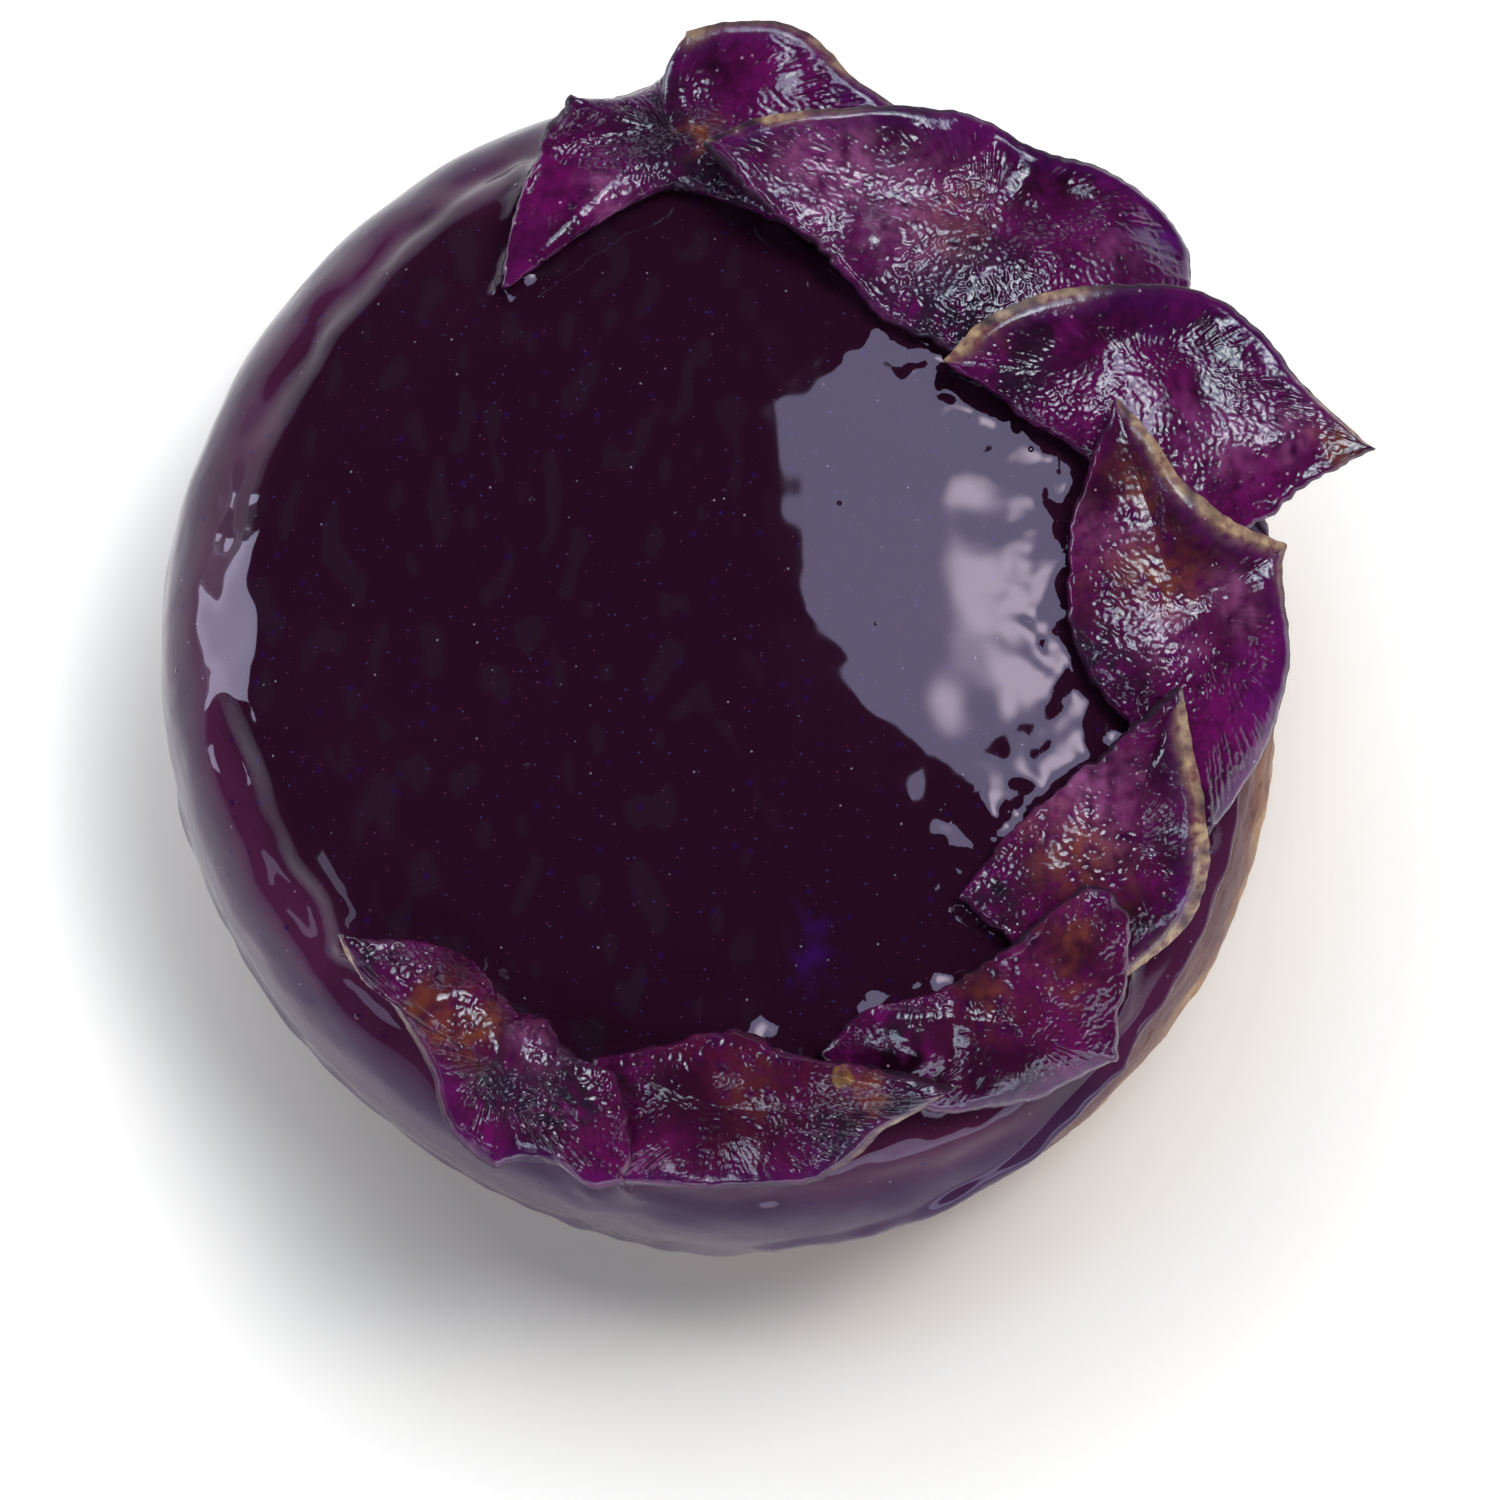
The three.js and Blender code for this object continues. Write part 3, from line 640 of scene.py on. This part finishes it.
def fried_sweet_potato():
    """Fried purple sweet potato: flesh that blistered into fine worm-like ridges, which shine with
    oil over dull valleys, with papery tan peel."""
    material, tree, flesh = new_material("fried_sweet_potato")
    place = add_node(tree, "TexCoord", "Object", {})
    cloud = add_node(tree, "TexNoise", "Fac", {"Vector": place, "Scale": 1 / (3 * MM), "Detail": 5})
    cloud = add_node(tree, "MapRange", "Result", {"Value": cloud, "From Min": 0.35, "From Max": 0.65})
    purples = {0: cloud, 6: linear("#3c0a38"), 7: linear("#68125e")}
    colour = add_node(tree, "Mix", 2, purples, data_type="RGBA")
    for tone, hex_colour in FLESH_TONES.items():
        amount = add_node(tree, "Attribute", "Fac", {}, attribute_name=tone)
        colour = add_node(tree, "Mix", 2, {0: amount, 6: colour, 7: linear(hex_colour)}, data_type="RGBA")
    # Valleys between the ridges are painted darker, a painted shade, and the oil lies on the crests.
    crest = add_node(tree, "Attribute", "Fac", {}, attribute_name="crest")
    dark = add_node(tree, "MapRange", "Result", {"Value": crest, "To Min": 0.35, "To Max": 0})
    colour = add_node(tree, "Mix", 2, {0: dark, 6: colour, 7: linear("#1a0818")}, data_type="RGBA")
    # Pale grains of starch, about 0.2 mm across. Half of them show.
    cells = {"Vector": place, "Scale": 1 / (1.2 * MM)}
    distance = add_node(tree, "TexVoronoi", "Distance", cells)
    pick = add_node(tree, "TexVoronoi", "Color", cells)
    grain = add_node(tree, "MapRange", "Result", {"Value": distance, "From Min": 0.12, "From Max": 0.05})
    chosen = add_node(tree, "Math", 0, {0: pick, 1: 0.5}, operation="GREATER_THAN")
    amount = add_node(tree, "Math", 0, {0: grain, 1: chosen}, operation="MULTIPLY")
    colour = add_node(tree, "Mix", 2, {0: amount, 6: colour, 7: linear("#b58bb0")}, data_type="RGBA")
    fibre = add_node(tree, "TexNoise", "Fac", {"Vector": place, "Scale": 1 / (0.8 * MM), "Detail": 4})
    fibre = add_node(tree, "MapRange", "Result", {"Value": fibre, "From Min": 0.35, "From Max": 0.65})
    skin = {0: fibre, 6: linear("#77484a"), 7: linear("#bea482")}
    skin = add_node(tree, "Mix", 2, skin, data_type="RGBA")
    peel = add_node(tree, "Attribute", "Fac", {}, attribute_name="peel")
    colour = add_node(tree, "Mix", 2, {0: peel, 6: colour, 7: skin}, data_type="RGBA")
    oiled = add_node(tree, "MapRange", "Result", {"Value": crest, "To Min": 0.2, "To Max": 0.09})
    papery = add_node(tree, "Attribute", "Fac", {}, attribute_name="papery")
    oiled = add_node(tree, "Mix", 0, {0: papery, 2: oiled, 3: 0.5})
    pitted = add_node(tree, "TexNoise", "Fac", {"Vector": place, "Scale": 1 / (0.3 * MM), "Detail": 2})
    pits = {"Height": pitted, "Distance": 0.03 * MM, "Strength": 0.8}
    tree.links.new(colour, flesh.inputs["Base Color"])
    tree.links.new(oiled, flesh.inputs["Roughness"])
    tree.links.new(add_node(tree, "Bump", "Normal", pits), flesh.inputs["Normal"])
    flesh.inputs["IOR"].default_value = 1.5
    flesh.inputs["Specular IOR Level"].default_value = 0.45
    flesh.inputs["Specular Tint"].default_value = linear("#cfe6ff")
    flesh.inputs["Coat Weight"].default_value = 0.15
    flesh.inputs["Coat Roughness"].default_value = 0.07
    return material


def facing(layer):
    """The direction that each point of a layer of rings faces, with the rim as its first ring."""
    around = np.roll(layer, -1, axis=1) - np.roll(layer, 1, axis=1)
    inward = np.gradient(layer, axis=0)
    normal = np.cross(around, inward)
    normal /= np.maximum(np.linalg.norm(normal, axis=-1, keepdims=True), 1e-9)
    return normal * np.sign(normal[..., 2:3].mean())


def beyond(points, start, end):
    """Distance in mm, seen from above, from each point to the line between two places."""
    start, end = np.array(start), np.array(end)
    line = end - start
    share = np.clip((points[..., :2] - start) @ line / (line @ line), 0, 1)
    return np.linalg.norm(points[..., :2] - start - share[..., None] * line, axis=-1)


def slice_rim(shape):
    """The rim of a slice in mm, and at each of its points the width of the peel and whether there is
    any."""
    lengths = [run_length(points) for points, peel in shape["runs"]]
    counts = [round(RIM_STEPS * length / sum(lengths)) for length in lengths]
    rim = np.vstack([smooth_run(points, n) for (points, peel), n in zip(shape["runs"], counts)])
    peel = np.concatenate([
        np.interp(np.linspace(0, len(widths) - 1, n), range(len(widths)), widths)
        for (points, widths), n in zip(shape["runs"], counts)
    ])
    peeled = (peel > 0).astype(float)
    for _ in range(5):
        peel = (np.roll(peel, 1) + peel + np.roll(peel, -1)) / 3
        peeled = (np.roll(peeled, 1) + peeled + np.roll(peeled, -1)) / 3
    return rim, peel, peeled


def slice_tones(shape, top, inset, peeled, seed):
    """How strong each tone of the flesh is over the top of a slice."""
    blur = 1.6 * bumps(top, 2.6, seed + 6) + 0.8 * bumps(top, 1.1, seed + 7)
    tones = {tone: np.zeros(top.shape[:2]) for tone in FLESH_TONES}
    tones["deep"] = np.clip(1.6 * bumps(top, 5, seed + 8), 0, 0.7)
    tones["violet"] = 0.35 * peeled * np.exp(-(((inset - 0.7) / 0.9) ** 2))
    mottle = 1 + 1.5 * bumps(top, 0.9, seed + 13)
    for tone, x, y, radius, strength in shape["tones"]:
        away = np.hypot(top[..., 0] - x, top[..., 1] - y) + blur
        patch = strength * mottle * np.exp(-np.clip(away / radius, 0, 9) ** 2)
        tones[tone] = np.clip(np.maximum(tones[tone], patch), 0, 1)
    return tones


def slice_blisters(shape, tones, top, inset, streaks, peeled, seed):
    """Heights in mm of the blisters and of the folds over the top of a slice. There are worm-like
    ridges in some places and pimples in others, and ridges square to the peel beside it. The flesh is
    roughest where it is slate and smoothest where it is deep, violet, wine or magenta."""
    smoothed = 0.7 * tones["deep"] + 0.6 * tones["violet"] + 0.5 * tones["magenta"] + 0.6 * tones["wine"]
    rough = shape["blistered"] * np.clip(1 + 0.7 * tones["slate_shade"] - smoothed, 0.12, 1.3)
    rough *= 0.75 + 0.5 * ramp(bumps(top, 3.5, seed + 12), -0.15, 0.15)
    wormy = ramp(bumps(top, 6, seed + 1), -0.15, 0.2)
    worm = np.sqrt(bumps(top, WORM_SIZE, seed + 2) ** 2 + 0.002)
    pimple = bumps(top, PIMPLE_SIZE, seed + 9)
    by_peel = peeled * ramp(inset, 0.5, 1.4) * ramp(inset, 5.6, 2.8)
    ridge = bumps(streaks, RIDGE_SPACING, seed + 3)
    ridge *= 0.6 + 1.6 * ramp(bumps(top, 1.1, seed + 11), -0.1, 0.25)
    raised = np.zeros(top.shape[:2])
    for x0, y0, x1, y1, width, height in shape["folds"]:
        away = beyond(top, (x0, y0), (x1, y1)) / width
        raised += height * np.exp(-away**2)
        rough *= 1 - 0.5 * np.exp(-away**2)
    rough *= 1 - peeled * ramp(inset, 1.4, 0.3)
    blisters = rough * (
        (1 - by_peel) * (0.15 * wormy * (0.17 - worm) + 0.085 * (1 - 0.6 * wormy) * pimple)
        + by_peel * (0.115 * ridge + 0.06 * pimple)
    )
    return blisters, raised


def make_slice(name, shape, material, seed):
    """One crisp: a curled sheet with a blistered top, a swollen edge and a smooth underside."""
    heart = np.array(shape["heart"], float)
    rim, peel, peeled = slice_rim(shape)
    outward = rim[:, :2] - heart[:2]
    reach = np.linalg.norm(outward, axis=1)
    outward = np.concatenate([outward / reach[:, None], np.zeros((len(rim), 1))], axis=1)
    # A knife and hot oil leave the cut edges ragged, and the peel a little notched.
    ragged = (0.4 * bumps(rim, 2.6, seed) + 0.3 * bumps(rim, 0.9, seed + 0.3)) * (1 - 0.5 * peeled)

    def middle(share):
        """The middle layer at a share of the way from the heart to the rim."""
        flat = heart[:2] + share[..., None] * (rim[:, :2] - heart[:2])
        lift = heart[2] + (rim[:, 2] - heart[2]) * share ** shape["curl"]
        layer = np.concatenate([flat, (lay(flat[..., 0], flat[..., 1]) + lift)[..., None]], axis=-1)
        near_rim = np.exp(-(1 - share) * reach / 0.9)
        return layer + outward * (ragged * near_rim)[..., None]

    def half_thickness(from_rim):
        """Half the thickness, in mm: the slice thins towards its rim, most where it is peeled."""
        return SLICE_THICKNESS / 2 * (1 - (0.3 + 0.3 * peeled) * np.exp(-from_rim / 1.3))

    rings = np.linspace(1, 0, RING_STEPS, endpoint=False)[:, None]
    under_rings = np.linspace(1, 0, UNDER_STEPS, endpoint=False)[:, None]
    top = middle(rings * (1 - peel / reach)[None, :])
    under = middle(np.broadcast_to(under_rings, (UNDER_STEPS, len(rim))))
    inset = (1 - rings) * reach[None, :]
    along = np.concatenate([[0], np.cumsum(np.linalg.norm(np.diff(rim, axis=0), axis=1))])
    # Stretched places, where even bumps become ridges square to the rim.
    streaks = np.stack(np.broadcast_arrays(along[None, :], inset / 5, seed * 3.1), axis=-1)
    tones = slice_tones(shape, top, inset, peeled, seed)
    blisters, raised = slice_blisters(shape, tones, top, inset, streaks, peeled, seed)
    # Glaze that soaked the cut edges set as a fine bead along them.
    beaded = 0.2 * (1 - peeled) * np.clip(0.3 + 1.8 * bumps(top, 2.2, seed + 10), 0, 1)
    wet_bead = beaded * np.exp(-(((inset - 0.4) / 0.25) ** 2))
    cockle = 0.42 * bumps(top, 5, seed + 4) + 0.1 * bumps(top, 2.2, seed + 5)
    rounding = 0.2 * np.clip(1 - inset / 0.6, 0, 1) ** 2
    fine_relief = blisters * ramp(inset, 0, 0.5) + wet_bead
    raise_top = half_thickness(inset) - rounding + fine_relief + (cockle + raised) * ramp(inset, 0, 1.5)
    crest = np.maximum(ramp(blisters, -0.03, 0.02), ramp(wet_bead, 0.02, 0.08))

    top = top + facing(top) * raise_top[..., None]
    under = under - facing(under) * half_thickness((1 - under_rings) * reach)[..., None]
    # The edge swells a little between the two faces.
    edge_shares = (0.2, 0.45, 0.7, 0.9)
    swell = [0.15 * math.sin(math.pi * share) for share in edge_shares]
    edge = [top[0] + (under[0] - top[0]) * t + outward * s for t, s in zip(edge_shares, swell)]
    stack = np.concatenate([top[::-1], edge, under])

    def spread(on_top, on_edge, on_under):
        on_edge = np.broadcast_to(on_edge, (len(edge), len(rim)))
        return np.concatenate([on_top[::-1], on_edge, np.broadcast_to(on_under, under.shape[:2])])

    marks = {tone: spread(values, 0, 0) for tone, values in tones.items()}
    marks["deep"] = spread(tones["deep"], 0.8, 0)
    tan = ramp(peel, 0.12, 0.42) * np.clip(0.75 + 1.5 * bumps(rim, 1.6, seed), 0, 1)
    marks["peel"] = spread(np.exp(-inset / 0.35) * tan, tan, 0)
    marks["crest"] = spread(crest, 0.2, 0.4)
    marks["papery"] = spread(0.5 * np.exp(-inset / 0.25), 1, 0.5)
    piece = solid(name + "_crisp", stack, top[-1].mean(0), under[-1].mean(0), marks)
    piece.data.materials.append(material)
    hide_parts(name)
    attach(piece, "root")


sweet_potato = fried_sweet_potato()
for number, (name, shape) in enumerate(SLICES.items()):
    make_slice(name, shape, sweet_potato, 20 + 10 * number)

# ---------------------------------------------------------------------------------------------
# Studio: a floor of white paper that glows a little, with a painted shadow where its glow stops round
# the doughnut, a large softbox high at the back right, a window on the left, a low card in front, a
# small light and a strip light at the front left and a soft light behind, in a room that is pale near the
# floor and dark above.

FLOOR_REACH = 3
# The middle of the painted shadow on the paper, in m, a little in front of the doughnut's middle.
PAINTED_SHADOW_CENTRE = (0.006, -0.015, 0)

floor_mesh = bpy.data.meshes.new("floor")
corners = [(x * FLOOR_REACH, y * FLOOR_REACH, 0) for x, y in ((-1, -1), (1, -1), (1, 1), (-1, 1))]
floor_mesh.from_pydata(corners, [], [(0, 1, 2, 3)])
floor = bpy.data.objects.new("floor", floor_mesh)
bpy.context.scene.collection.objects.link(floor)
paper, paper_tree, sheet = new_material("glowing_paper")
sheet.inputs["Base Color"].default_value = linear("#fafafa")
sheet.inputs["Roughness"].default_value = 0.9
sheet.inputs["Emission Color"].default_value = linear("#f7fcff")
# The paper's glow is cut off below and round the doughnut as a painted shadow, and is brightest far away.
spot = add_node(paper_tree, "TexCoord", "Object", {})
from_painted_shadow = add_node(paper_tree, "VectorMath", "Value", {0: spot, 1: PAINTED_SHADOW_CENTRE}, operation="DISTANCE")
near = {"Value": from_painted_shadow, "From Min": 0.036, "From Max": 0.062, "To Max": 0.42}
near = add_node(paper_tree, "MapRange", "Result", near)
far = {"Value": from_painted_shadow, "From Min": 0.5, "From Max": 2, "To Max": 0.3}
far = add_node(paper_tree, "MapRange", "Result", far)
glow = add_node(paper_tree, "Math", 0, {0: near, 1: far}, operation="ADD")
paper_tree.links.new(glow, sheet.inputs["Emission Strength"])
floor_mesh.materials.append(paper)


def soft_light(name, place, turn, width, height, radiance, colour):
    """A flat light with the same radiance over its whole face."""
    data = bpy.data.lights.new(name, "AREA")
    data.shape = "RECTANGLE"
    data.size = width
    data.size_y = height
    data.energy = radiance * math.pi * width * height
    data.color = colour
    lamp = bpy.data.objects.new(name, data)
    lamp.location = place
    lamp.rotation_euler = turn
    lamp.visible_camera = False
    bpy.context.scene.collection.objects.link(lamp)
    return data


# The softbox hangs level, and its bulb makes the cloth brighter and warmer in front of its middle.
SOFTBOX = Vector((0.445, 0.37, 1.2))
SOFTBOX_WIDTH = 0.76
BULB = Vector((0.49, 0.25, 1.2))
BULB_RADIANCE = (22, 20, 16.5, 1)
CLOTH_RADIANCE = (5.8, 6, 6.3, 1)
softbox = soft_light("softbox", SOFTBOX, (0, 0, 0), SOFTBOX_WIDTH, SOFTBOX_WIDTH, 1, (1, 1, 1))
softbox.use_nodes = True
lit = softbox.node_tree
place = add_node(lit, "NewGeometry", "Position", {})
from_bulb = add_node(lit, "VectorMath", "Value", {0: place, 1: BULB}, operation="DISTANCE")
warmth = {"Value": from_bulb, "From Min": 0.06, "From Max": 0.24}
warmth = add_node(lit, "MapRange", "Result", warmth, interpolation_type="SMOOTHSTEP")
cloth = {0: warmth, 6: BULB_RADIANCE, 7: CLOTH_RADIANCE}
cloth = add_node(lit, "Mix", 2, cloth, data_type="RGBA")
# Its frame is an octagon, so the corners of the square are dark.
from_middle = add_node(lit, "VectorMath", "Vector", {0: place, 1: SOFTBOX}, operation="SUBTRACT")
from_middle = add_node(lit, "VectorMath", "Vector", {0: from_middle}, operation="ABSOLUTE")
across = add_node(lit, "VectorMath", "Value", {0: from_middle, 1: (1, 1, 0)}, operation="DOT_PRODUCT")
framed = {0: across, 1: SOFTBOX_WIDTH / math.sqrt(2)}
framed = add_node(lit, "Math", 0, framed, operation="LESS_THAN")
cloth = add_node(lit, "VectorMath", "Vector", {0: cloth, "Scale": framed}, operation="SCALE")
lit.links.new(cloth, lit.nodes["Emission"].inputs["Color"])

WINDOW = Vector((-1.176, 0.239, 0.175))
FRONT_CARD = Vector((0.42, -1.12, 0.12))
LOW_STRIP = Vector((-0.72, -0.74, 0.66))
FRONT_LIGHT = Vector((-0.34, -0.88, 0.9))
BACK_LIGHT = Vector((0.1, 1.1, 0.62))
COOL_WHITE = (0.96, 0.97, 1)
for name, place, width, height, radiance in (
    ("window", WINDOW, 0.49, 0.33, 8),
    ("front_card", FRONT_CARD, 1.7, 0.24, 3.6),
    ("low_strip", LOW_STRIP, 1.1, 0.12, 2.8),
    ("front_light", FRONT_LIGHT, 0.4, 0.26, 7),
    ("back_light", BACK_LIGHT, 0.9, 0.22, 2),
):
    turn = place.to_track_quat("Z", "Y").to_euler()
    soft_light(name, place, turn, width, height, radiance, COOL_WHITE)

world = bpy.data.worlds.new("studio")
world.use_nodes = True
bpy.context.scene.world = world
air = world.node_tree
direction = add_node(air, "TexCoord", "Generated", {})
height = add_node(air, "SeparateXYZ", "Z", {0: direction})
limits = {"Value": height, "From Min": 0.06, "From Max": 0.11}
darkness = add_node(air, "MapRange", "Result", limits, interpolation_type="SMOOTHSTEP")
room = {0: darkness, 6: linear("#dadfec"), 7: linear("#303034")}
room = add_node(air, "Mix", 2, room, data_type="RGBA")
air.links.new(room, air.nodes["Background"].inputs["Color"])

bpy.context.scene.view_settings.view_transform = "Standard"
